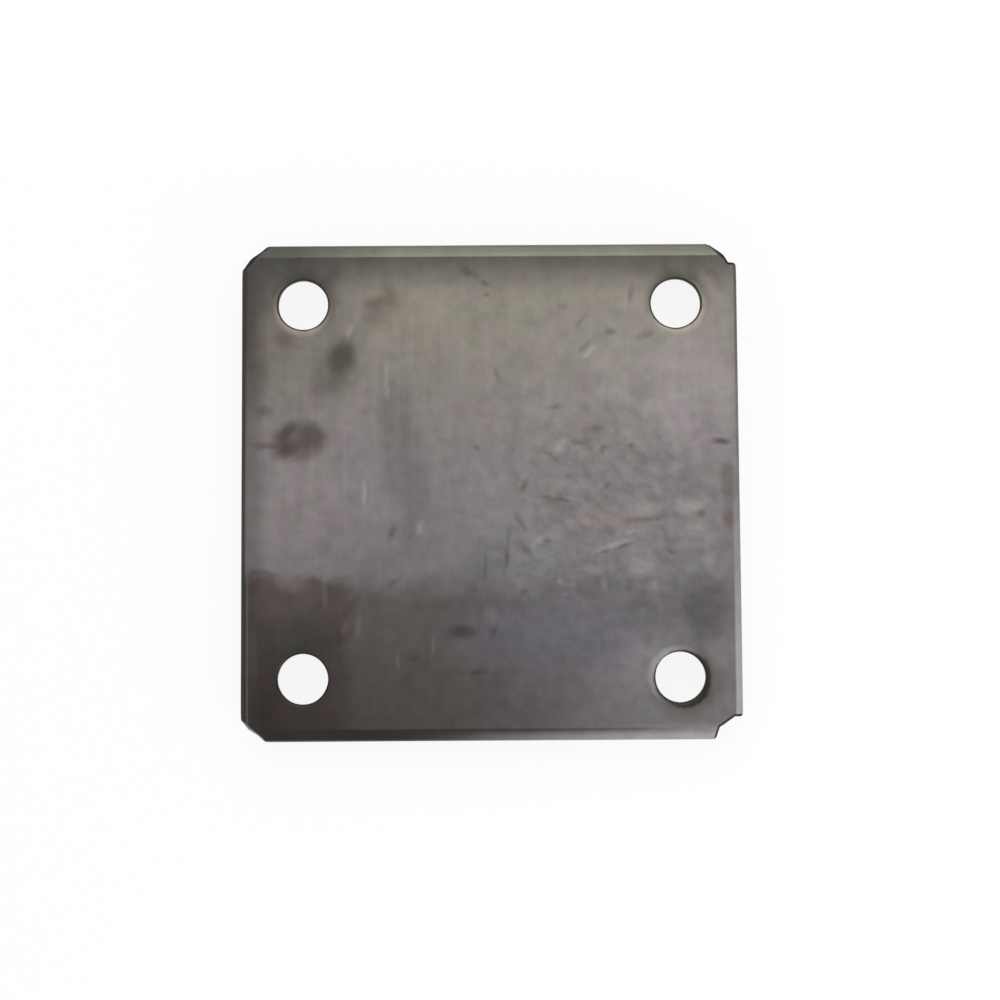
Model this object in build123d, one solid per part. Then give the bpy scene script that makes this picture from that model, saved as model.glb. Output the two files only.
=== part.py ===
"""Square sheet-steel base plate with four short lips folded down and four bolt holes.

Millimetres. The plate lies face up on the free edges of its lips. The origin is in the
middle of the plate, in the plane of those free edges, with +Z up and +Y towards the top lip.
"""
from build123d import *
import os
from math import radians, tan

# Overall size
length_x = 100.0          # over the left and right lips
length_y = 100.0          # over the bottom and top lips
height = 8.0              # from the free edges of the lips to the face

# Sheet and bends
sheet = 1.5               # sheet thickness
side_bend_radius = 0.3    # inside radius of the left and right bends
end_bend_radius = 1.3     # inside radius of the bottom and top bends

# Bolt holes, one near each corner
hole_inset_x = 12.5       # from the outer face of the left or right lip to a hole's centre
hole_inset_y = 12.5       # from the outer face of the bottom or top lip to a hole's centre
hole_diameter = 10.0
hole_roll = 0.4           # radius drawn round each hole's edge on the face as it was punched

# Corner cuts, measured inwards from the two outer edges that would meet at the corner
top_left_clip_x = 5.1     # straight clips at the two left corners
top_left_clip_y = 5.0
bottom_left_clip_x = 4.7
bottom_left_clip_y = 4.2
top_right_clip_x = 5.9    # where the bowed cut at the top right leaves the top lip
top_right_lip_end = 4.2   # square end of the right lip at the top
top_right_bow = 0.5       # the cut at the top right bows outwards by this much
bottom_right_clip_x = 5.4     # where the cut at the bottom right leaves the bottom lip
bottom_right_lip_end = 4.6    # square end of the right lip at the bottom
notch_x = 4.8             # corner of the notch at the bottom right
notch_y = 2.5
lip_end_slant = 45.0      # degrees by which the three clipped lips narrow below their bends

# Sizes that follow from those above
side_bend_line = sheet + side_bend_radius
end_bend_line = sheet + end_bend_radius
half_x = length_x / 2
half_y = length_y / 2
hole_spacing_x = length_x - 2 * hole_inset_x
hole_spacing_y = length_y - 2 * hole_inset_y
past = 2.0                # how far a cutting shape runs past the sheet


def folded_block(inset, side_radius, end_radius):
    """Solid block inside the sheet's outer or inner skin, its upper edges rounded."""
    top = height - inset
    block = Pos(0, 0, top / 2) * Box(length_x - 2 * inset, length_y - 2 * inset, top)
    upper_edges = block.edges().group_by(Axis.Z)[-1]
    rounded_sides = fillet(upper_edges.filter_by(Axis.Y), side_radius)
    rounded_ends = fillet(upper_edges.filter_by(Axis.X), end_radius)
    return rounded_sides & rounded_ends


def cut_prism(path, clip_x, clip_y):
    """Upright prism over everything outside a corner cut. The corner is at the origin."""
    around = Polyline((0, clip_y), (-past, clip_y), (-past, -past), (clip_x, -past), (clip_x, 0))
    outline = Wire(path.edges() + around.edges())
    return Pos(0, 0, -past) * extrude(make_face(outline), height + 2 * past)


def slant_profile(clip_along, clip_across, bend_line):
    """Outline, along a lip and upwards, of what its slanted end loses below the bend.

    It starts where a straight clip crosses the inner skin, so that no ledge is left there.
    """
    start = clip_along * (1 - sheet / clip_across)
    bend_foot = height - bend_line
    lost = (bend_foot + past) * tan(radians(lip_end_slant))
    corners = [(-past, -past), (start + lost, -past), (start, bend_foot), (-past, bend_foot)]
    return make_face(Polyline(*corners, close=True))


def end_lip_slant(clip_x, clip_y):
    """Wedge that slants the end of the bottom lip beside the corner at the origin."""
    profile = Plane.XZ * slant_profile(clip_x, clip_y, end_bend_line)
    return Pos(0, -past, 0) * extrude(profile, -(past + end_bend_line))


def side_lip_slant(clip_x, clip_y):
    """Wedge that slants the end of the left lip beside the corner at the origin."""
    profile = Plane.YZ * slant_profile(clip_y, clip_x, side_bend_line)
    return Pos(-past, 0, 0) * extrude(profile, past + side_bend_line)


def left_corner(clip_x, clip_y):
    """Cut at a left-hand corner: one straight clip, with both lips slanting below it."""
    clip = cut_prism(Line((clip_x, 0), (0, clip_y)), clip_x, clip_y)
    clip += end_lip_slant(clip_x, clip_y)
    return clip + side_lip_slant(clip_x, clip_y)


def top_right_corner():
    """Cut at the top right: a bowed clip that stops at the square end of the right lip."""
    start = Vector(top_right_clip_x, 0)
    stop = Vector(side_bend_line, top_right_lip_end)
    outwards = (stop - start).rotate(Axis.Z, 90).normalized()
    bowed_middle = (start + stop) / 2 + outwards * top_right_bow
    path = ThreePointArc(start, bowed_middle, stop) + Line(stop, (0, top_right_lip_end))
    clip = cut_prism(path, top_right_clip_x, top_right_lip_end)
    return clip + end_lip_slant(top_right_clip_x - top_right_bow, top_right_lip_end)


def bottom_right_corner():
    """Cut at the bottom right: a notch behind the end of the bottom lip, and a square lip."""
    path = Polyline(
        (bottom_right_clip_x, 0),
        (notch_x, notch_y),
        (side_bend_line, bottom_right_lip_end),
        (0, bottom_right_lip_end),
    )
    clip = cut_prism(path, bottom_right_clip_x, bottom_right_lip_end)
    return clip + end_lip_slant(bottom_right_clip_x, bottom_right_lip_end)


def base_plate():
    """The whole plate: a folded tray of one thickness, cut at its corners and punched."""
    plate = folded_block(0.0, side_bend_line, end_bend_line)
    plate -= folded_block(sheet, side_bend_radius, end_bend_radius)
    at_corner = Pos(-half_x, -half_y, 0)
    plate -= at_corner * left_corner(bottom_left_clip_x, bottom_left_clip_y)
    plate -= mirror(at_corner * left_corner(top_left_clip_x, top_left_clip_y), Plane.XZ)
    plate -= mirror(mirror(at_corner * top_right_corner(), Plane.YZ), Plane.XZ)
    plate -= mirror(at_corner * bottom_right_corner(), Plane.YZ)
    punch = Pos(0, 0, height) * Cylinder(hole_diameter / 2, 4 * sheet)
    for spot in GridLocations(hole_spacing_x, hole_spacing_y, 2, 2):
        plate -= spot * punch
    face_edges = plate.faces().sort_by(Axis.Z)[-1].edges()
    rims = face_edges.filter_by(lambda edge: edge.is_closed)
    return fillet(rims, hole_roll)


os.makedirs("parts", exist_ok=True)
export_step(base_plate(), "parts/base_plate.step")
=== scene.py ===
"""Looks of the folded steel base plate: its worn sheet, a pale floor, soft light and a camera.

The plate's visible mesh is made as the real one is: a flat blank with its corners cut and its
holes punched is laid out in millimetres, and its four lips are then folded down.
"""

from math import asin, ceil, copysign, cos, hypot, pi, radians, sin, tan

import bmesh
import bpy
import numpy as np
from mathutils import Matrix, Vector, kdtree, noise
from mathutils.geometry import delaunay_2d_cdt


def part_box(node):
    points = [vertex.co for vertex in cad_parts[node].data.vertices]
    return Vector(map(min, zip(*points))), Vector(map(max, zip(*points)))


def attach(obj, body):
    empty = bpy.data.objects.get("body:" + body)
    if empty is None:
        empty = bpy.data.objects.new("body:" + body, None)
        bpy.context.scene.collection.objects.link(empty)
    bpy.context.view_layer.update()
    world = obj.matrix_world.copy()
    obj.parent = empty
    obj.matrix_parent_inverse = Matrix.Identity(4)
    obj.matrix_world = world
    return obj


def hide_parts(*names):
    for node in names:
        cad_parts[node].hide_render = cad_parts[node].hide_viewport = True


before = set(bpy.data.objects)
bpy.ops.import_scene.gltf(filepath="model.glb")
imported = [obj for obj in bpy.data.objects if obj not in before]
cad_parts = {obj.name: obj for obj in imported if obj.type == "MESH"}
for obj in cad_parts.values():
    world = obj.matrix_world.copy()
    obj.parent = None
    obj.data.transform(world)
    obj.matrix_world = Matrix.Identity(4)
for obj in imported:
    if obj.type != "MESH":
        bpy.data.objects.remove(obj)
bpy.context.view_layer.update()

MM = 0.001
plate_low, plate_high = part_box("base_plate")

# Sizes of the plate in millimetres, its overall ones from the frame
half_x = (plate_high.x - plate_low.x) / 2 / MM
half_y = (plate_high.y - plate_low.y) / 2 / MM
height = (plate_high.z - plate_low.z) / MM
sheet = 1.5
side_radius = 1.8         # outer radius of the left and right bends
end_radius = 2.8          # outer radius of the bottom and top bends
hole_inset = 12.5         # from the outer face of a lip to a hole's centre
hole_radius = 5.0

# Corner cuts, measured inwards from the two outer edges that would meet at the corner
top_left_clip = (5.1, 5.0)
bottom_left_clip = (4.7, 4.2)
top_right_clip_x = 5.9
top_right_lip_end = 4.2
top_right_bow = 0.5
bottom_right_clip_x = 5.4
bottom_right_lip_end = 4.6
notch = (4.8, 2.5)
lip_end_slant = radians(45)

# Where the press left each bend flat, as angles round the bend from the face
pressed_flat = {
    "top": (radians(0.5), radians(55)),
    "bottom": (radians(6), radians(58)),
    "left": (radians(34), radians(70)),
    "right": (radians(12), radians(60)),
}

# Upper edges drawn round by the press: width, depth, and how late along the roll the dark
# of the cut sets in, which is early below 1 and late above it
edge_roll = (0.6, 0.45, 0.5)
hole_roll = (0.7, 0.4, 2.2)

# Lower edges
burr_chamfer = 0.08       # small break along them
burr_rim = 0.2            # width of the strip beside it where the dark of the cut fades out

# Unevenness of the sheet
waves = (                 # height, waves to the millimetre and place in the noise
    (0.06, 0.022, (3.1, 7.7, 0.4)),
    (0.02, 0.075, (9.2, 1.3, 2.2)),
)
draw_in = 0.08            # how far the sheet dips at a hole
draw_in_width = 3.0
bend_dip = 0.1            # how far it dips beside a bend
bend_dip_width = 6.0
bend_dip_end = 2.0        # the dip is gone this far round the bend
hole_stray = 0.06         # most that a hole's edge strays from round
hole_stray_span = 1.4     # radius in the noise of the circle that it strays by

# Mesh spacing
cell = 1.0                # between points on the face, the lips and the outline
clearance = 0.3           # from an edge to the nearest mesh point inside it
bend_steps = 8            # lines round each bend, besides those at the ends of its flat
clip_steps = 16           # along a straight clip
bow_steps = 14            # along the bowed clip
notch_steps = (6, 4)      # along the two sides of the notch
roll_steps = 5            # round a rolled edge
hole_steps = 96           # round a hole
longest_inset = 1.6       # most that an inset is lengthened at a sharp corner
sharp_edge = radians(42)  # edges that turn by more than this aren't smoothed over

# Material patches. The renderer can hold only some eighty at once, so they go in batches.
patch_batch = 12
patch_height = 1000.0     # so tall that how high a place lies makes no difference

# Studio
floor_side = 3.0          # metres
floor_tone = 0.82         # grey of its paint
floor_white = 0.88        # share of plain white that the camera and gloss see in the floor
sky_light = 0.92          # strength of the world as light; as a backdrop it is 1

# Where each bend starts and ends on the blank, and where its lip's free edge is
quarter_turn = pi / 2
side_line = half_x - side_radius
end_line = half_y - end_radius
side_foot = side_line + side_radius * quarter_turn
end_foot = end_line + end_radius * quarter_turn
side_reach = side_foot + height - side_radius
end_reach = end_foot + height - end_radius
hole_centres = [
    (sign_x * (half_x - hole_inset), sign_y * (half_y - hole_inset))
    for sign_x in (-1, 1)
    for sign_y in (-1, 1)
]


def sink(a, b):
    """How far the sheet lies below its true face at a point of the blank."""
    place = Vector((a, b, 0.0))
    depth = 0.0
    for swing, pitch, start in waves:
        depth += swing * (0.5 + 0.5 * noise.noise(place * pitch + Vector(start)))
    for line, along in ((side_line, abs(a)), (end_line, abs(b))):
        near = min(max((along - line) / bend_dip_width + 1, 0.0), 1.0)
        gone = min(max((along - line) / bend_dip_end, 0.0), 1.0)
        depth += bend_dip * near**2 * (1 - gone)
    for centre_x, centre_y in hole_centres:
        clear = hypot(a - centre_x, b - centre_y) - hole_radius
        if clear < draw_in_width:
            depth += draw_in * (1 - max(clear, 0.0) / draw_in_width) ** 3
    return depth


def round_bend(along, line, radius, flat, depth):
    """Distance from the middle and drop below the face, for a point past a bend line."""
    angle = (along - line) / radius
    start, stop = flat
    if angle >= quarter_turn:
        return line + radius - depth, radius + along - line - radius * quarter_turn
    outer = radius
    if start < angle < stop:
        outer *= cos((stop - start) / 2) / cos(angle - (start + stop) / 2)
    # The flat dies out through the sheet
    share = min(depth / sheet, 1.0)
    span = outer * (1 - share) + radius * share - depth
    return line + span * sin(angle), radius - span * cos(angle)


def folded(a, b, depth):
    """Where a point of the blank goes when the lips are folded, in metres."""
    depth += sink(a, b)
    if abs(a) > side_line:
        flat = pressed_flat["left" if a < 0 else "right"]
        reach, drop = round_bend(abs(a), side_line, side_radius, flat, depth)
        return Vector((copysign(reach, a), b, height - drop)) * MM
    if abs(b) > end_line:
        flat = pressed_flat["bottom" if b < 0 else "top"]
        reach, drop = round_bend(abs(b), end_line, end_radius, flat, depth)
        return Vector((a, copysign(reach, b), height - drop)) * MM
    return Vector((a, b, height - depth)) * MM


def unfolded(inset_x, inset_y):
    """The point of the flat blank that a point of the folded plate's outline comes from."""
    x = half_x - inset_x
    y = half_y - inset_y
    if x > side_line:
        x = side_line + side_radius * asin(min(1.0, (x - side_line) / side_radius))
    if y > end_line:
        y = end_line + end_radius * asin(min(1.0, (y - end_line) / end_radius))
    return x, y


def corner_path(cut, slant_side):
    """Outline of the blank round one corner, from the end lip's free edge to the side lip's.

    cut lists points of the folded plate's outline as insets from its two outer edges.
    """
    clip_x = cut[0][0]
    clip_y = cut[-1][1]
    start_end = clip_x * (1 - sheet / clip_y)
    start_side = clip_y * (1 - sheet / clip_x)
    lost = start_end + (height - end_radius) * tan(lip_end_slant)
    kink = (clip_x - start_end) / tan(lip_end_slant)
    path = [(half_x - lost, end_reach), (half_x - clip_x, end_foot + kink)]
    path += [unfolded(*point) for point in cut]
    if slant_side:
        lost = start_side + (height - side_radius) * tan(lip_end_slant)
        kink = (clip_y - start_side) / tan(lip_end_slant)
        path += [(side_foot + kink, half_y - clip_y), (side_reach, half_y - lost)]
    else:
        path += [(side_reach, half_y - clip_y)]
    return path


def between(start, stop, count, bow=0.0):
    """Evenly spaced points from start to stop, bowed towards the corner at the origin."""
    along = Vector(stop) - Vector(start)
    outwards = Vector((along.y, -along.x)).normalized()
    if outwards.dot(Vector(start)) > 0:
        outwards.negate()
    points = []
    for i in range(count + 1):
        t = i / count
        points.append(tuple(Vector(start) + along * t + outwards * bow * 4 * t * (1 - t)))
    return points


def with_spacing(loop, step):
    """The closed loop with points added so that none are further apart than step."""
    dense = []
    for here, there in zip(loop, loop[1:] + loop[:1]):
        count = max(1, ceil(hypot(there[0] - here[0], there[1] - here[1]) / step))
        dense += between(here, there, count)[:-1]
    return dense


def left_cut(clip):
    """Straight clip at a left-hand corner, as insets."""
    return corner_path(between((clip[0], 0.0), (0.0, clip[1]), clip_steps), True)


def blank_outline():
    """The flat blank's outline, clockwise from the top left."""
    lip_end = (side_radius, top_right_lip_end)
    bowed = between((top_right_clip_x, 0.0), lip_end, bow_steps, top_right_bow)
    top_right = corner_path(bowed + [(0.0, top_right_lip_end)], False)
    lip_end = (side_radius, bottom_right_lip_end)
    notched = between((bottom_right_clip_x, 0.0), notch, notch_steps[0])
    notched += between(notch, lip_end, notch_steps[1])[1:]
    bottom_right = corner_path(notched + [(0.0, bottom_right_lip_end)], False)
    loop = [(-x, y) for x, y in reversed(left_cut(top_left_clip))]
    loop += top_right
    loop += [(x, -y) for x, y in reversed(bottom_right)]
    loop += [(-x, -y) for x, y in left_cut(bottom_left_clip)]
    return with_spacing(loop, cell)


def inset_loop(loop, distance):
    """The clockwise loop moved inwards, point by point."""
    moved = []
    for i, here in enumerate(loop):
        before = Vector(here) - Vector(loop[i - 1])
        after = Vector(loop[(i + 1) % len(loop)]) - Vector(here)
        normal = Vector((before.y, -before.x)).normalized()
        other = Vector((after.y, -after.x)).normalized()
        middle = (normal + other).normalized()
        stretch = 1 / max(1 / longest_inset, middle.dot(normal))
        moved.append(tuple(Vector(here) + middle * distance * stretch))
    return moved


def around(centre, radius, turn):
    """The point of a circle at an angle."""
    return centre[0] + radius * cos(turn), centre[1] + radius * sin(turn)


def hole_loop(centre, radius):
    """A round loop about a hole's centre, a little uneven as a worn punch leaves it."""
    loop = []
    for i in range(hole_steps):
        turn = 2 * pi * i / hole_steps
        stray = noise.noise(Vector((*around(centre, hole_stray_span, turn), 0)))
        loop.append(around(centre, radius + hole_stray * stray, turn))
    return loop


def bend_angles(flats):
    """Angles of the mesh lines round a bend, closer at the ends of its flat part."""
    close = radians(2)
    angles = {end + side for flat in flats for end in flat for side in (-close, close)}
    spread = [quarter_turn * i / bend_steps for i in range(1, bend_steps + 1)]
    angles |= {s for s in spread if all(abs(s - angle) > 2 * close for angle in angles)}
    return sorted(angles)


def grid_lines(line, radius, foot, reach, flats):
    """Positions of the mesh lines from one free edge of the blank to the other."""
    face_count = ceil(line / cell)
    ahead = [line * i / face_count for i in range(face_count + 1)]
    ahead += [line + radius * angle for angle in bend_angles(flats)]
    lip_count = ceil((reach - foot) / cell)
    ahead += [foot + (reach - foot) * i / lip_count for i in range(1, lip_count)]
    return [-value for value in reversed(ahead[1:])] + ahead


def inside(points, loop):
    """Which of the points lie inside the loop."""
    xs, ys = points[:, 0], points[:, 1]
    found = np.zeros(len(points), bool)
    for (x0, y0), (x1, y1) in zip(loop, loop[1:] + loop[:1]):
        crosses = (y0 > ys) != (y1 > ys)
        if y0 != y1:
            found ^= crosses & (xs < (x1 - x0) * (ys - y0) / (y1 - y0) + x0)
    return found


def skin_triangles(outline, holes):
    """Points and triangles of one skin of the blank, and where each of its loops' points went."""
    points = [point for loop in [outline] + holes for point in loop]
    edges = []
    start = 0
    for loop in [outline] + holes:
        edges += [(start + i, start + (i + 1) % len(loop)) for i in range(len(loop))]
        start += len(loop)
    tree = kdtree.KDTree(len(points))
    for i, point in enumerate(points):
        tree.insert((*point, 0.0), i)
    tree.balance()
    side_flats = [pressed_flat["left"], pressed_flat["right"]]
    end_flats = [pressed_flat["bottom"], pressed_flat["top"]]
    lines_a = grid_lines(side_line, side_radius, side_foot, side_reach, side_flats)
    lines_b = grid_lines(end_line, end_radius, end_foot, end_reach, end_flats)
    grid = np.array([(a, b) for a in lines_a for b in lines_b])
    kept = inside(grid, outline)
    for hole in holes:
        kept &= ~inside(grid, hole)
    for a, b in grid[kept]:
        if tree.find((a, b, 0.0))[2] > clearance:
            points.append((a, b))
    all_triangles = 0
    tolerance = 1e-6
    made = delaunay_2d_cdt([Vector(p) for p in points], edges, [], all_triangles, tolerance)
    places, triangles, origins = made[0], made[2], made[3]
    order = {source: index for index, sources in enumerate(origins) for source in sources}
    middles = np.array([sum((places[i] for i in t), Vector((0, 0))) / 3 for t in triangles])
    kept = inside(middles, outline)
    for hole in holes:
        kept &= ~inside(middles, hole)
    return places, [t for t, keep in zip(triangles, kept) if keep], order


def edge_rings(loop_at, roll):
    """Loops from the upper skin round a rolled edge to the lower skin.

    Each comes with its depth below the upper skin and its share of the cut's dark tone.
    """
    width, depth, lateness = roll
    rings = []
    for step in range(roll_steps + 1):
        angle = quarter_turn * step / roll_steps
        cut = (step / roll_steps) ** lateness
        rings.append((width * (1 - sin(angle)), depth * (1 - cos(angle)), cut))
    rings += [(0.0, sheet - burr_chamfer, 1.0), (burr_chamfer, sheet, 1.0)]
    rings.append((burr_chamfer + burr_rim, sheet, 0.0))
    return [(loop_at(inset), down, cut) for inset, down, cut in rings]


def add_band(mesh, above, below):
    """A closed band of faces between two rings of as many points."""
    for i in range(len(above)):
        j = (i + 1) % len(above)
        mesh.faces.new([above[i], above[j], below[j], below[i]])


def finished_object(mesh, name):
    """The mesh as an object in the scene, smooth but for its sharp edges."""
    loose = [vert for vert in mesh.verts if not vert.link_faces]
    bmesh.ops.delete(mesh, geom=loose, context="VERTS")
    bmesh.ops.recalc_face_normals(mesh, faces=mesh.faces)
    data = bpy.data.meshes.new(name)
    mesh.to_mesh(data)
    mesh.free()
    data.shade_smooth()
    data.set_sharp_from_angle(angle=sharp_edge)
    made = bpy.data.objects.new(name, data)
    bpy.context.scene.collection.objects.link(made)
    return made


def build_plate():
    """The folded plate: two skins joined by the walls of its edges and holes."""
    outline = blank_outline()
    families = [edge_rings(lambda inset: inset_loop(outline, inset), edge_roll)]
    for centre in hole_centres:
        families.append(
            edge_rings(lambda inset, c=centre: hole_loop(c, hole_radius + inset), hole_roll)
        )
    mesh = bmesh.new()
    cut_layer = mesh.verts.layers.float.new("cut_edge")
    upper_layer = mesh.verts.layers.float.new("upper_skin")

    def add_vert(a, b, depth, cut):
        vert = mesh.verts.new(folded(a, b, depth))
        vert[cut_layer] = cut
        vert[upper_layer] = 1.0 if depth < sheet / 2 else 0.0
        return vert

    skins = []
    for ring in (0, -1):
        loops = [rings[ring][0] for rings in families]
        depth = families[0][ring][1]
        places, triangles, order = skin_triangles(loops[0], loops[1:])
        verts = [add_vert(p.x, p.y, depth, 0.0) for p in places]
        for triangle in triangles:
            corners = [verts[i] for i in triangle]
            mesh.faces.new(corners if ring == 0 else corners[::-1])
        skins.append((verts, order, loops))
    for number, rings in enumerate(families):
        ends = []
        for verts, order, loops in skins:
            start = sum(len(loop) for loop in loops[:number])
            ends.append([verts[order[start + i]] for i in range(len(loops[number]))])
        chain = [ends[0]]
        for loop, depth, cut in rings[1:-1]:
            chain.append([add_vert(a, b, depth, cut) for a, b in loop])
        chain.append(ends[1])
        for above, below in zip(chain, chain[1:]):
            add_band(mesh, above, below)
    return finished_object(mesh, "pressed_plate")


def seen(red, green, blue):
    """A colour as it looks on an sRGB screen, 0 to 255, in the renderer's linear values."""
    shares = [part / 255 for part in (red, green, blue)]
    return (*[s / 12.92 if s <= 0.04045 else ((s + 0.055) / 1.055) ** 2.4 for s in shares], 1.0)


class Nodes:
    """Adds shader nodes to a material. Each value given is a number, a colour or an output."""

    def __init__(self, material):
        material.use_nodes = True
        self.tree = material.node_tree
        self.shader = self.tree.nodes["Principled BSDF"]
        self.last_patch = 0.0
        self.patches_made = 0
        self.step = None
        self.waiting = {}

    def put(self, node, socket, value):
        """Sets a node's socket to a plain value, or links an output to it."""
        if isinstance(value, bpy.types.NodeSocket):
            self.tree.links.new(value, node.inputs[socket])
        else:
            node.inputs[socket].default_value = value

    def add(self, kind, inputs, **settings):
        """A new node with its inputs and settings filled in."""
        node = self.tree.nodes.new(kind)
        for name, value in settings.items():
            setattr(node, name, value)
        for socket, value in inputs.items():
            self.put(node, socket, value)
        return node

    def maths(self, operation, first, second=0.0, third=0.0):
        """One step of arithmetic on up to three numbers."""
        values = {0: first, 1: second, 2: third}
        return self.add("ShaderNodeMath", values, operation=operation).outputs[0]

    def ease(self, value, low, high, start=0.0, stop=1.0):
        """Smooth step from start to stop as the value goes from low to high."""
        inputs = {"Value": value, 1: low, 2: high, 3: start, 4: stop}
        return self.add("ShaderNodeMapRange", inputs, interpolation_type="SMOOTHSTEP").outputs[0]

    def mix(self, share, first, second, blend="MIX"):
        """The second colour laid over the first, or blended with it, by a share from 0 to 1."""
        inputs = {0: share, 6: first, 7: second}
        return self.add("ShaderNodeMix", inputs, data_type="RGBA", blend_type=blend).outputs[2]

    def scaled(self, colour, factor):
        """A colour or a place times a number."""
        inputs = {0: colour, "Scale": factor}
        return self.add("ShaderNodeVectorMath", inputs, operation="SCALE").outputs[0]

    def grain(self, place, size, detail=2.0, roughness=0.5, seed=0.0, turn=0.0):
        """Noise from 0 to 1 whose blotches have about the given sizes along x, y and z."""
        turned = self.add("ShaderNodeMapping", {0: place, 2: (0, 0, turn)}).outputs[0]
        scale = tuple(1 / s for s in size)
        shift = (seed * 7.3, seed * 3.1, seed * 5.7)
        fitted = self.add("ShaderNodeMapping", {0: turned, 1: shift, 3: scale}).outputs[0]
        inputs = {"Vector": fitted, "Scale": 1.0, "Detail": detail, "Roughness": roughness}
        return self.add("ShaderNodeTexNoise", inputs).outputs[0]

    def in_turn(self, place):
        """The place for the next patch, which waits for the patches of earlier batches.

        The wait is a small step in height, which patch_height makes nothing of.
        """
        if self.patches_made % patch_batch == 0:
            self.step = self.add("ShaderNodeCombineXYZ", {2: self.last_patch}).outputs[0]
            self.waiting = {}
        self.patches_made += 1
        name = place.node.name
        if name not in self.waiting:
            inputs = {0: place, 1: self.step}
            moved = self.add("ShaderNodeVectorMath", inputs, operation="ADD")
            self.waiting[name] = moved.outputs[0]
        return self.waiting[name]

    def reach(self, place, middle, radii, turn=0.0):
        """Distance from the middle of an ellipse on the face, 1 on the ellipse itself."""
        inputs = {
            0: self.in_turn(place),
            1: (*middle, 0),
            2: (0, 0, radians(turn)),
            3: (*radii, patch_height),
        }
        fitted = self.add("ShaderNodeMapping", inputs, vector_type="TEXTURE").outputs[0]
        return self.add("ShaderNodeVectorMath", {0: fitted}, operation="LENGTH").outputs["Value"]

    def patch(self, place, middle, radii, turn=0.0, soft=0.5, strength=1.0):
        """An elliptical patch on the face: strength inside it, easing to 0 outside."""
        reach = self.reach(place, middle, radii, turn)
        self.last_patch = self.ease(reach, 1 + soft, 1 - soft, 0.0, strength)
        return self.last_patch

    def stain(self, colour, tone, *shape):
        """The colour with a patch of another tone on it, shaped as patch() says."""
        return self.mix(self.patch(*shape), colour, seen(*tone))


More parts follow.
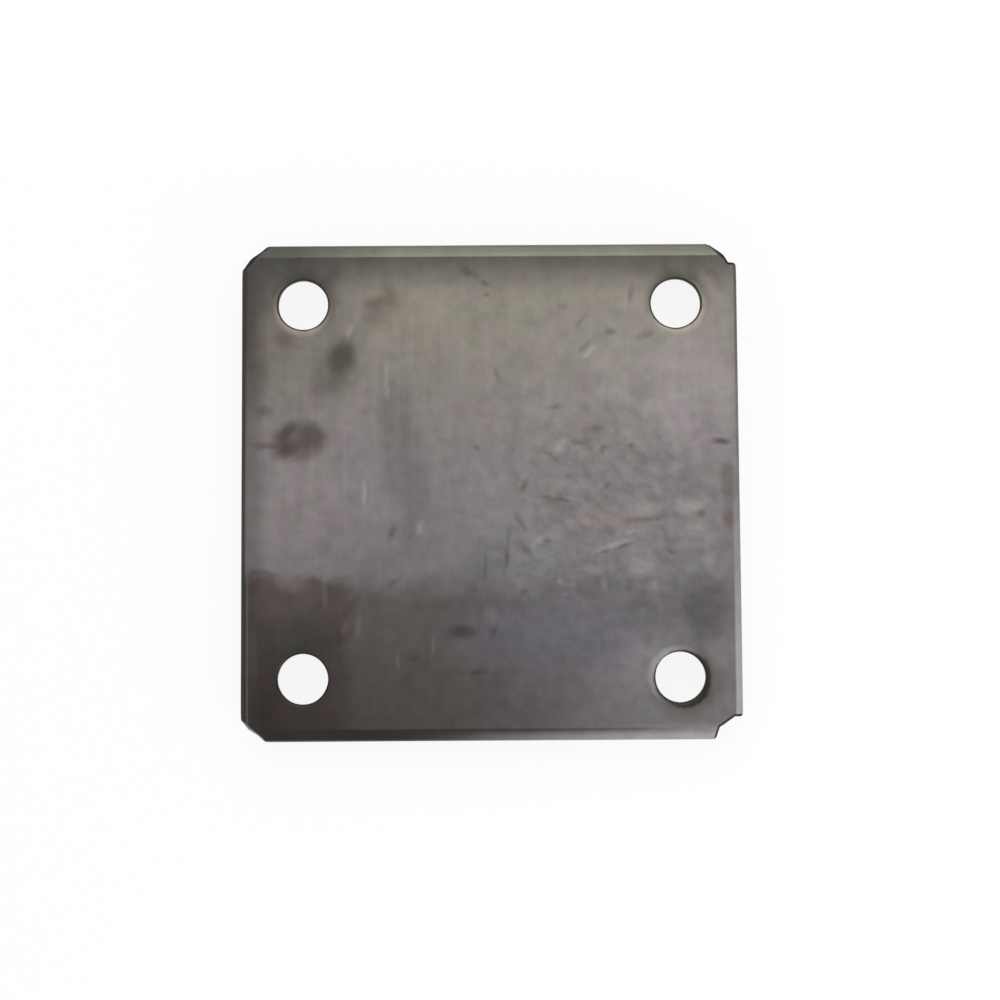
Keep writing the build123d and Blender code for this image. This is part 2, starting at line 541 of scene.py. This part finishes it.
def face_tone(nodes, warped, near):
    """The sheet's tone from above: large soft changes first, painted shade and painted light
    among them, then its stains and marks.

    warped wanders far from the true place and near only a little, for small marks.
    """
    split = nodes.add("ShaderNodeSeparateXYZ", {0: warped})
    across, up = split.outputs[0], split.outputs[1]
    # The open sheet, warmer in the upper part and cooler in the lower
    colour = nodes.mix(nodes.ease(up, 6, 34), seen(125, 120, 120), seen(131, 126, 117))
    colour = nodes.mix(nodes.ease(up, -6, -18), colour, seen(119, 116, 118))
    # Mill scale over the lower part, darkest at the left, where its upper edge is sharp
    scale_tone = nodes.mix(nodes.ease(across, -33, -25), seen(72, 64, 62), seen(89, 84, 83))
    scale_tone = nodes.mix(nodes.ease(across, -12, 22), scale_tone, seen(105, 102, 105))
    lower_edge = nodes.ease(across, -38, -14, -18.4, -23.5)
    upper_edge = nodes.ease(across, -38, -14, -16.0, -13.5)
    colour = nodes.mix(nodes.ease(up, upper_edge, lower_edge), colour, scale_tone)
    # Large soft patches: painted shade at the top left and along the upper left edge, a painted
    # pool of light over the upper right, and others, darkest towards the bottom left
    for middle, radii, soft, strength, tone in (
        ((-34, -60), (52, 24), 0.8, 0.6, (50, 43, 40)),
        ((-56, 56), (28, 20), 0.8, 0.85, (56, 54, 52)),
        ((-42, 30), (14, 14), 0.8, 0.4, (92, 88, 82)),
        ((-52, 34), (6, 17), 0.8, 0.7, (58, 54, 51)),
        ((-52, -42), (14, 15), 0.8, 0.55, (44, 39, 37)),
        ((32, 23), (24, 13), 0.8, 0.3, (152, 148, 146)),
        ((42, 20), (9, 11), 0.5, 0.35, (158, 148, 152)),
        ((-20, -13), (24, 6), 0.9, 0.3, (100, 94, 95)),
        ((36, -36), (11, 7), 0.8, 0.85, (129, 124, 129)),
        ((10, -29), (14, 5), 0.8, 0.5, (98, 97, 110)),
        ((40, -46), (18, 5), 0.8, 0.5, (124, 119, 122)),
        ((-38, -2), (9, 14), 0.8, 0.35, (132, 122, 123)),
        ((8, -12), (9, 6), 0.8, 0.4, (122, 123, 125)),
        ((-40, -22.5), (10, 4.4), 0.6, 0.6, (88, 77, 76)),
        ((-38, -30), (8, 5), 0.6, 0.6, (67, 66, 62)),
        ((-45, -42), (5, 5), 0.5, 0.5, (54, 45, 41)),
    ):
        colour = nodes.stain(colour, tone, warped, middle, radii, 0, soft, strength)
    for middle, radii, turn, soft, strength, tone in (
        ((-18.9, 14.5), (3.2, 10.5), 3, 0.6, 0.5, (98, 95, 94)),
        ((-15.6, 0.5), (4.4, 9.0), 0, 0.8, 0.55, (100, 97, 97)),
        ((-46.0, -17.4), (3.2, 1.8), 0, 0.4, 0.7, (84, 75, 72)),
        ((-40.2, -18.0), (2.9, 1.7), -15, 0.7, 0.7, (114, 105, 105)),
        ((-47.4, -33.0), (0.8, 5.0), 0, 0.8, 0.4, (92, 86, 82)),
        ((-36.5, -31.0), (5.6, 1.0), 10, 0.8, 0.5, (52, 53, 50)),
        ((-33.6, -29.6), (3.1, 5.2), 0, 0.15, 0.5, (64, 63, 60)),
        ((46.3, 9.5), (1.5, 0.55), -4, 0.9, 0.75, (60, 54, 54)),
        ((-6.0, -28.2), (2.5, 1.3), -4, 0.6, 0.7, (60, 55, 56)),
        ((35.6, 45.6), (1.0, 2.6), 0, 0.8, 0.5, (76, 70, 68)),
        ((30.5, 44.8), (2.8, 2.0), 0, 0.9, 0.35, (84, 79, 74)),
        ((40.8, 44.6), (1.3, 2.8), 8, 0.8, 0.45, (80, 73, 69)),
        ((44.6, 43.6), (0.8, 2.8), 40, 0.8, 0.4, (86, 78, 72)),
        ((-29.8, 26.6), (2.7, 3.6), -15, 0.6, 0.85, (60, 59, 48)),
        ((-31.8, 23.4), (4.6, 4.8), -20, 0.6, 0.45, (84, 81, 72)),
        ((-33.4, 20.8), (3.0, 1.6), 20, 0.8, 0.35, (90, 82, 84)),
        ((-38.2, 10.1), (5.4, 4.0), 0, 0.3, 0.6, (84, 76, 71)),
        ((-35.6, 10.9), (2.4, 2.4), 0, 0.6, 0.5, (60, 57, 53)),
        ((-40.8, 11.6), (1.1, 2.4), -40, 0.7, 0.55, (56, 52, 44)),
        ((-40.6, 8.4), (2.8, 1.3), 20, 0.8, 0.6, (66, 50, 49)),
        ((-44.6, 9.1), (2.2, 0.7), 0, 0.8, 0.5, (76, 66, 60)),
        ((-45.2, 16.1), (1.5, 1.1), 0, 0.8, 0.5, (84, 70, 68)),
        ((-22.8, 37.9), (2.2, 1.1), 10, 0.9, 0.55, (88, 72, 67)),
        ((-23.0, 35.4), (2.4, 1.8), 60, 0.9, 0.4, (96, 81, 75)),
        ((-19.8, 39.0), (1.2, 2.8), 25, 0.9, 0.45, (90, 79, 69)),
        ((-41.3, 30.4), (2.0, 1.4), 0, 0.8, 0.4, (90, 70, 66)),
        ((-31.6, 43.6), (2.0, 1.4), 50, 0.8, 0.5, (66, 60, 56)),
        ((42.4, -24.2), (4.2, 6.5), 0, 0.35, 0.5, (80, 79, 76)),
        ((47.6, 1.0), (1.4, 4.2), 0, 0.6, 0.5, (92, 88, 84)),
        ((47.6, -6.4), (1.2, 1.8), 0, 0.7, 0.5, (88, 72, 70)),
        ((-0.2, -25.2), (1.5, 1.7), 0, 0.8, 0.35, (124, 115, 107)),
        ((22.5, -6.2), (5.5, 1.4), 0, 0.8, 0.35, (150, 130, 130)),
        ((19.6, -19.6), (3.4, 1.7), 0, 0.6, 0.4, (94, 87, 90)),
    ):
        colour = nodes.stain(colour, tone, near, middle, radii, turn, soft, strength)
    return colour


def rim_tone(nodes, near, colour):
    """Painted shade in dark rings where the punch drew the sheet in and fainter beyond them, with
    a painted highlight as a pale crescent beside some of them.

    The clips at the two upper corners have a dark rim as well.
    """
    # Per hole: a wide faint ring of painted shade, for three of them a pale crescent of painted
    # highlight, then a dark ring of painted shade
    for middle, radius, soft, strength, tone in (
        ((-37.2, 38.4), 6.2, 0.25, 0.6, (64, 60, 60)),
        ((-37.55, 36.85), 5.7, 0.1, 0.5, (146, 141, 124)),
        ((-37.4, 37.6), 5.3, 0.07, 0.75, (62, 57, 50)),
        ((37.9, 38.4), 5.9, 0.25, 0.55, (72, 68, 66)),
        ((37.9, 36.9), 5.7, 0.1, 0.6, (162, 155, 136)),
        ((37.5, 37.5), 5.3, 0.07, 0.75, (66, 60, 54)),
        ((-36.6, -36.4), 7.0, 0.5, 0.5, (60, 58, 52)),
        ((-37.4, -37.6), 5.3, 0.1, 0.6, (44, 40, 38)),
        ((38.3, -38.3), 6.9, 0.35, 0.7, (76, 72, 58)),
        ((36.9, -37.1), 5.8, 0.12, 0.6, (160, 156, 160)),
        ((37.9, -37.8), 5.75, 0.08, 0.9, (42, 38, 32)),
    ):
        colour = nodes.stain(colour, tone, near, middle, (radius, radius), 0, soft, strength)
    for middle, radii, turn in (((-47.3, 47.4), (4.0, 0.6), 45), ((46.2, 48.0), (3.0, 0.5), -45)):
        colour = nodes.stain(colour, (26, 25, 23), near, middle, radii, turn, 0.4, 0.9)
    return colour


# Knocks on the face: middle, half length and half width in millimetres, and degrees of turn
dark_marks = [
    (13.1, 16.7, 1.3, 0.45, 5), (17.8, 9.5, 1.2, 0.6, 0), (12.0, 6.8, 1.3, 0.5, -35),
    (22.5, 7.7, 1.2, 0.6, 40), (26.4, 6.8, 1.1, 0.8, 20), (28.1, 8.8, 0.5, 0.4, 0),
    (21.6, 12.1, 1.5, 0.7, 0), (6.9, 1.1, 1.2, 0.5, 60), (23.4, 0.9, 1.1, 0.5, 50),
    (13.7, -2.0, 2.6, 0.35, -12), (31.5, -6.0, 4.4, 0.45, 3), (27.7, -6.4, 0.8, 0.6, 0),
    (42.0, -5.0, 0.8, 0.7, 0), (6.0, -6.6, 2.0, 0.5, -65), (22.5, -7.9, 1.2, 0.7, -20),
    (3.3, -11.6, 4.2, 0.4, 84), (7.2, -12.3, 1.3, 0.55, -50), (11.6, -10.3, 1.1, 0.35, -10),
    (22.8, -12.4, 1.6, 0.35, 20), (26.4, -11.4, 1.8, 0.3, 10), (35.8, -12.6, 0.8, 0.4, -20),
    (6.3, -20.6, 0.9, 0.8, 0), (-1.1, -15.4, 2.3, 0.45, 88), (0.5, -28.2, 1.9, 0.6, 65),
    (-34.2, -22.6, 1.2, 0.5, 75), (-27.6, -22.8, 2.2, 0.7, 58), (-31.2, -25.6, 1.0, 0.7, 60),
    (-30.4, -30.5, 4.5, 0.5, 90), (-19.8, -18.9, 1.8, 0.45, 42), (-19.5, -8.1, 1.8, 0.6, 72),
    (-13.0, -35.0, 1.6, 0.6, 80), (-15.7, -33.2, 1.2, 0.9, 0), (-3.9, -36.2, 3.6, 0.4, 0),
    (-0.9, 41.7, 1.5, 0.5, -15), (-3.8, 43.6, 1.8, 0.8, -30), (-0.4, 39.3, 0.5, 0.45, 0),
    (1.2, 23.4, 1.4, 0.55, -60), (-2.7, 8.4, 0.6, 0.5, 0), (14.7, 31.4, 1.0, 0.7, 20),
    (14.7, 36.9, 0.7, 0.6, 0), (24.2, 31.7, 0.9, 0.7, 0), (31.1, 30.9, 1.5, 0.7, 25),
    (28.3, 38.6, 2.2, 0.5, 84), (18.4, 34.0, 1.2, 0.4, 60), (18.8, 28.6, 1.4, 0.4, 42),
]
light_marks = [
    (14.0, 8.9, 1.5, 0.8, 60), (39.6, -3.5, 3.7, 1.2, 4), (30.3, -3.9, 2.6, 1.3, 0),
    (24.4, -11.2, 2.8, 0.6, 20), (21.6, -15.9, 2.4, 0.9, 0), (30.2, -15.5, 2.6, 2.1, 0),
    (22.5, -18.8, 1.3, 0.5, 88), (32.0, -19.3, 1.2, 1.0, 80), (9.8, -10.0, 0.9, 0.7, 0),
    (27.6, -8.8, 1.0, 0.5, 30), (13.7, -18.2, 0.5, 0.4, 0), (16.3, -19.1, 0.5, 0.4, 0),
    (14.6, -20.9, 0.6, 0.4, 0), (41.0, -7.8, 2.0, 1.3, 30), (19.9, 27.5, 1.5, 0.4, 42),
    (-33.2, -20.6, 2.4, 0.5, 90), (-26.5, -27.0, 2.2, 0.55, 84), (-29.2, -27.2, 1.4, 0.6, 70),
    (-11.5, -30.8, 1.7, 0.4, 84), (-18.6, -33.8, 1.6, 0.4, 88), (-14.2, -7.5, 1.2, 0.5, 80),
    (-25.2, -0.4, 1.8, 0.4, 90), (-20.7, 21.6, 3.4, 0.45, 90), (-28.1, 32.0, 1.3, 0.5, 80),
    (43.3, -13.7, 1.0, 1.8, 0),
]


def most_of(nodes, place, marks, soft):
    """The strongest of several elliptical marks at a place, from 0 to 1."""
    further_than_any = 9.0
    nearest = further_than_any
    for x, y, half_length, half_width, turn in marks:
        reach = nodes.reach(place, (x, y), (half_length, half_width), turn)
        nearest = nodes.maths("MINIMUM", nearest, reach)
        nodes.last_patch = nearest
    return nodes.ease(nearest, 1 + soft, 1 - soft)


def edge_tone(nodes, place, colour, near_face):
    """Painted shade on the sheet beside the top and left bends, and the bends themselves with
    painted highlights and painted shade.
    """
    split = nodes.add("ShaderNodeSeparateXYZ", {0: place})
    across, up = split.outputs[0], split.outputs[1]
    from_top = nodes.maths("SUBTRACT", half_y, up)
    from_bottom = nodes.maths("ADD", half_y, up)
    from_right = nodes.maths("SUBTRACT", half_x, across)
    from_left = nodes.maths("ADD", half_x, across)
    outside = -1.0  # a strip from here on begins at the very edge
    beside_bend = 2.2

    def strip(distance, near, far, soft, strength, tone):
        """The colour with another tone in a strip along one edge, from near to far of it."""
        rise = nodes.ease(distance, near - soft, near + soft)
        fall = nodes.ease(distance, far + soft, far - soft)
        share = nodes.maths("MULTIPLY", rise, fall)
        share = nodes.maths("MULTIPLY", share, near_face)
        return nodes.mix(nodes.maths("MULTIPLY", share, strength), colour, tone)

    def shade(distance, reach, strength, tone):
        """The colour with painted shade in another tone beside one edge's bend, which fades out
        at reach.
        """
        share = nodes.ease(distance, reach, beside_bend, 0.0, strength)
        return nodes.mix(nodes.maths("MULTIPLY", share, near_face), colour, tone)

    # Painted shade on the face beside the top and left bends
    below_top = nodes.mix(nodes.ease(across, -44, -12), seen(64, 63, 60), seen(81, 79, 74))
    colour = shade(from_top, 11.5, 0.95, below_top)
    colour = shade(from_left, 6.0, 0.4, seen(64, 60, 57))
    # Top bend in its tone with the light it reflects painted in, darker at its left end in
    # painted shade, with a painted highlight where it meets the face
    strength = nodes.ease(across, -46, -14, 0.55, 0.95)
    tone = nodes.mix(nodes.ease(across, -46, -14), seen(80, 79, 73), seen(107, 107, 96))
    colour = strip(from_top, outside, 2.85, 0.15, strength, tone)
    strength = nodes.ease(across, -44, -10, 0.0, 0.2)
    colour = strip(from_top, 2.0, 2.75, 0.25, strength, seen(140, 140, 130))
    # Bottom bend, in painted shade at the left and with a painted highlight at the right, with a
    # dark line of painted shade where it meets the face
    strength = nodes.ease(across, 40, -25)
    colour = strip(from_bottom, outside, 2.5, 0.2, strength, seen(50, 46, 45))
    strength = nodes.ease(across, 18, 44, 0.0, 0.75)
    colour = strip(from_bottom, outside, 3.3, 0.3, strength, seen(126, 122, 126))
    strength = nodes.ease(across, -20, 38, 0.0, 0.9)
    colour = strip(from_bottom, outside, 1.5, 0.9, strength, seen(160, 156, 162))
    strength = nodes.ease(across, 42, 26, 0.0, 0.45)
    colour = strip(from_bottom, 2.1, 2.5, 0.3, strength, seen(52, 49, 48))
    # Left bend in painted shade, with a painted highlight along the line where it meets the face
    # that gets lighter downwards
    colour = strip(from_left, outside, 0.95, 0.25, 0.9, seen(47, 44, 42))
    strength = nodes.ease(up, 30, -40, 0.0, 0.5)
    colour = strip(from_left, 1.3, 1.65, 0.2, strength, seen(108, 104, 102))
    # Right bend, with a painted highlight in the lower part and painted shade at its edge in the
    # upper
    strength = nodes.ease(up, 10, -45, 0.15, 0.95)
    colour = strip(from_right, outside, 1.5, 0.25, strength, seen(164, 161, 166))
    strength = nodes.ease(up, -15, 38, 0.0, 0.7)
    colour = strip(from_right, outside, 0.75, 0.25, strength, seen(76, 74, 72))
    return colour


def wandering(nodes, place, size, reach):
    """The place moved about by noise of the given size, by up to about the given reach."""
    inputs = {"Vector": place, "Scale": 1 / size, "Detail": 3.0, "Roughness": 0.6}
    drift = nodes.add("ShaderNodeTexNoise", inputs).outputs["Color"]
    inputs = {0: drift, 1: (0.5, 0.5, 0.5)}
    centred = nodes.add("ShaderNodeVectorMath", inputs, operation="SUBTRACT").outputs[0]
    moved = {0: place, 1: nodes.scaled(centred, 2 * reach)}
    return nodes.add("ShaderNodeVectorMath", moved, operation="ADD").outputs[0]


def drifting_tint(nodes, place, colour):
    """The colour with a faint drift between green and pink."""
    green = nodes.mix(1.0, colour, (0.985, 1.008, 0.985, 1), "MULTIPLY")
    pink = nodes.mix(1.0, colour, (1.02, 0.985, 0.998, 1), "MULTIPLY")
    drift = nodes.ease(nodes.grain(place, (5, 5, 5), 2.0, 0.6, 5), 0.4, 0.6)
    return nodes.mix(drift, pink, green)


def sheared_tone(nodes, real, place):
    """Sheared edges: dark, with a torn lighter grain, and a painted highlight at the bottom left
    clip.
    """
    torn = nodes.grain(place, (0.5, 0.5, 1.2), 3.0, 0.6, 31)
    tone = nodes.mix(torn, seen(15, 14, 14), seen(58, 56, 53))
    # Painted highlight on the cut at the bottom left clip
    bright = nodes.patch(real, (-47.8, -48.0), (3.6, 1.2), -42, 0.5, 0.7)
    return nodes.mix(nodes.maths("MULTIPLY", bright, torn), tone, seen(225, 222, 218))


def worn_steel_and_painted_light():
    """Bare sheet steel: soft blotches, rolling streaks, mill scale, stains and knocks, with
    painted shade and painted highlights.
    """
    material = bpy.data.materials.new("worn_steel_and_painted_light")
    nodes = Nodes(material)
    origin = nodes.add("ShaderNodeTexCoord", {}).outputs["Object"]
    upper = nodes.add("ShaderNodeAttribute", {}, attribute_name="upper_skin").outputs["Fac"]
    cut = nodes.add("ShaderNodeAttribute", {}, attribute_name="cut_edge").outputs["Fac"]
    real = nodes.scaled(origin, 1 / MM)
    # The two skins are set far apart in the noise, so that each has blotches of its own
    apart = nodes.maths("MULTIPLY", upper, 40.0)
    shift = nodes.add("ShaderNodeCombineXYZ", {2: apart}).outputs[0]
    place = nodes.add("ShaderNodeVectorMath", {0: real, 1: shift}, operation="ADD").outputs[0]
    across, up, high = nodes.add("ShaderNodeSeparateXYZ", {0: real}).outputs
    # 1 on the face and the bends, and gone half way down the lips
    near_face = nodes.maths("MULTIPLY", upper, nodes.ease(high, height - 5.5, height - 3.5))
    near = wandering(nodes, real, 2.6, 0.6)
    warped = wandering(nodes, real, 7.0, 3.4)

    underside = seen(120, 116, 114)
    colour = nodes.mix(upper, underside, face_tone(nodes, warped, near))
    colour = edge_tone(nodes, real, colour, near_face)
    colour = rim_tone(nodes, near, colour)

    # Blotches, streaks, grain and small dents, each with its weight as a share of the tone
    clouds = nodes.grain(place, (9, 10, 9), 3.0, 0.55, 1)
    mottle = nodes.grain(place, (2.6, 3.0, 2.6), 3.0, 0.55, 2)
    streaks = nodes.grain(place, (2.2, 20, 2.2), 2.0, 0.5, 3)
    brush = nodes.grain(place, (0.3, 9, 0.3), 1.0, 0.5, 4)
    dents = nodes.grain(place, (3.0, 2.2, 3.0), 2.0, 0.6, 11, 0.4)
    worn = nodes.patch(real, (26, -6), (26, 22), 0, 0.7, 1.0)
    streaked_left = nodes.ease(across, 8, -20, 0.1, 0.3)
    streaked_above = nodes.ease(up, -26, -6, 0.3, 1.0)
    streaked = nodes.maths("MULTIPLY", streaked_left, streaked_above)
    dented = nodes.maths("MULTIPLY_ADD", worn, 0.6, 0.15)
    factor = 1.0
    for pattern, weight in (
        (clouds, 0.36),
        (mottle, 0.36),
        (streaks, streaked),
        (brush, 0.1),
        (dents, dented),
    ):
        centred = nodes.maths("SUBTRACT", pattern, 0.5)
        factor = nodes.maths("MULTIPLY_ADD", centred, weight, factor)
    # Knocks, darkest where the mottling is dark too
    dark = most_of(nodes, near, dark_marks, 0.95)
    light = most_of(nodes, near, light_marks, 0.95)
    uneven = nodes.ease(mottle, 0.7, 0.3, 0.4, 1.0)
    dark = nodes.maths("MULTIPLY", nodes.maths("MULTIPLY", dark, upper), uneven)
    light = nodes.maths("MULTIPLY", light, upper)
    factor = nodes.maths("MULTIPLY", factor, nodes.maths("MULTIPLY_ADD", light, 0.32, 1.0))
    colour = nodes.scaled(colour, factor)
    colour = nodes.mix(nodes.maths("MULTIPLY", dark, 0.45), colour, seen(60, 51, 45))
    colour = drifting_tint(nodes, place, colour)
    sheared = sheared_tone(nodes, real, place)
    colour = nodes.mix(nodes.ease(cut, 0.0, 0.35), colour, sheared)

    # Roughest in the paler blotches and the dark knocks. The relief follows blotches and dents.
    rough = nodes.maths("MULTIPLY_ADD", mottle, 0.2, 0.32)
    rough = nodes.maths("MULTIPLY_ADD", dark, 0.1, rough)
    relief = nodes.maths("MULTIPLY", mottle, 0.02)
    relief = nodes.maths("MULTIPLY_ADD", clouds, 0.04, relief)
    relief = nodes.maths("MULTIPLY_ADD", dents, 0.02, relief)
    bump = nodes.add("ShaderNodeBump", {"Height": relief, "Strength": 1.0, "Distance": MM})

    nodes.put(nodes.shader, "Base Color", colour)
    nodes.put(nodes.shader, "Roughness", rough)
    nodes.put(nodes.shader, "Normal", bump.outputs[0])
    nodes.shader.inputs["Metallic"].default_value = 0.9
    return material


def dress_plate():
    """The folded plate in its worn steel with painted shade and highlights, standing for the CAD
    plate.
    """
    plate = build_plate()
    plate.data.materials.append(worn_steel_and_painted_light())
    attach(plate, "root")
    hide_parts("base_plate")


def lay_floor():
    """Pale floor under the plate. The camera and gloss see it nearly white, with its shadow."""
    bpy.ops.mesh.primitive_plane_add(size=floor_side, location=(0, 0, 0))
    floor = bpy.context.object
    floor.name = "floor"
    material = bpy.data.materials.new("pale_floor")
    nodes = Nodes(material)
    paint = nodes.shader
    paint.inputs["Base Color"].default_value = (floor_tone, floor_tone, floor_tone, 1)
    paint.inputs["Roughness"].default_value = 0.9
    paint.inputs["Specular IOR Level"].default_value = 0.1
    white = nodes.add("ShaderNodeEmission", {"Color": (1, 1, 1, 1), "Strength": 1.0})
    path = nodes.add("ShaderNodeLightPath", {})
    watched = nodes.maths("MAXIMUM", path.outputs["Is Camera Ray"], path.outputs["Is Glossy Ray"])
    share = nodes.maths("MULTIPLY", watched, floor_white)
    inputs = {0: share, 1: paint.outputs["BSDF"], 2: white.outputs["Emission"]}
    mix = nodes.add("ShaderNodeMixShader", inputs)
    out = nodes.tree.nodes["Material Output"]
    nodes.put(out, "Surface", mix.outputs["Shader"])
    floor.data.materials.append(material)


def place_lamp(name, place, aim, size, power):
    """A soft square lamp at a place, turned to shine at aim."""
    data = bpy.data.lights.new(name, "AREA")
    data.shape = "SQUARE"
    data.size = size
    data.energy = power
    lamp = bpy.data.objects.new(name, data)
    lamp.location = place
    lamp.rotation_euler = (Vector(place) - Vector(aim)).to_track_quat("Z", "Y").to_euler()
    bpy.context.scene.collection.objects.link(lamp)


def light_studio():
    """Soft even light from all round, a lamp beyond the top edge and one at the lower right."""
    world = bpy.data.worlds.new("studio")
    bpy.context.scene.world = world
    world.use_nodes = True
    sky = world.node_tree.nodes["Background"]
    sky.inputs["Color"].default_value = (1, 1, 1, 1)
    # Even light on all sides needs no map of where it is bright
    world.cycles.sampling_method = "NONE"
    # As a backdrop it is white; as light it is a little dimmer
    path = world.node_tree.nodes.new("ShaderNodeLightPath")
    strength = world.node_tree.nodes.new("ShaderNodeMath")
    strength.operation = "MULTIPLY_ADD"
    world.node_tree.links.new(path.outputs["Is Camera Ray"], strength.inputs[0])
    strength.inputs[1].default_value = 1.0 - sky_light
    strength.inputs[2].default_value = sky_light
    world.node_tree.links.new(strength.outputs[0], sky.inputs["Strength"])
    place_lamp("window", (0.0, 0.75, 0.75), aim=(0, 0, 0), size=0.9, power=3.5)
    place_lamp("side_lamp", (0.32, -0.3, 0.2), aim=(0.03, -0.03, 0), size=0.2, power=0.6)


def place_camera():
    """Camera nearly straight above the plate, as the photograph was taken."""
    data = bpy.data.cameras.new("camera")
    data.lens = 67.27
    data.sensor_width = 36.0
    camera = bpy.data.objects.new("camera", data)
    camera.location = (0.0006, -0.0290, 0.38)
    camera.rotation_mode = "ZYX"
    camera.rotation_euler = (0.0722, -0.0034, -0.0063)
    bpy.context.scene.collection.objects.link(camera)
    bpy.context.scene.camera = camera


place_camera()
dress_plate()
lay_floor()
light_studio()
bpy.context.scene.view_settings.view_transform = "Standard"
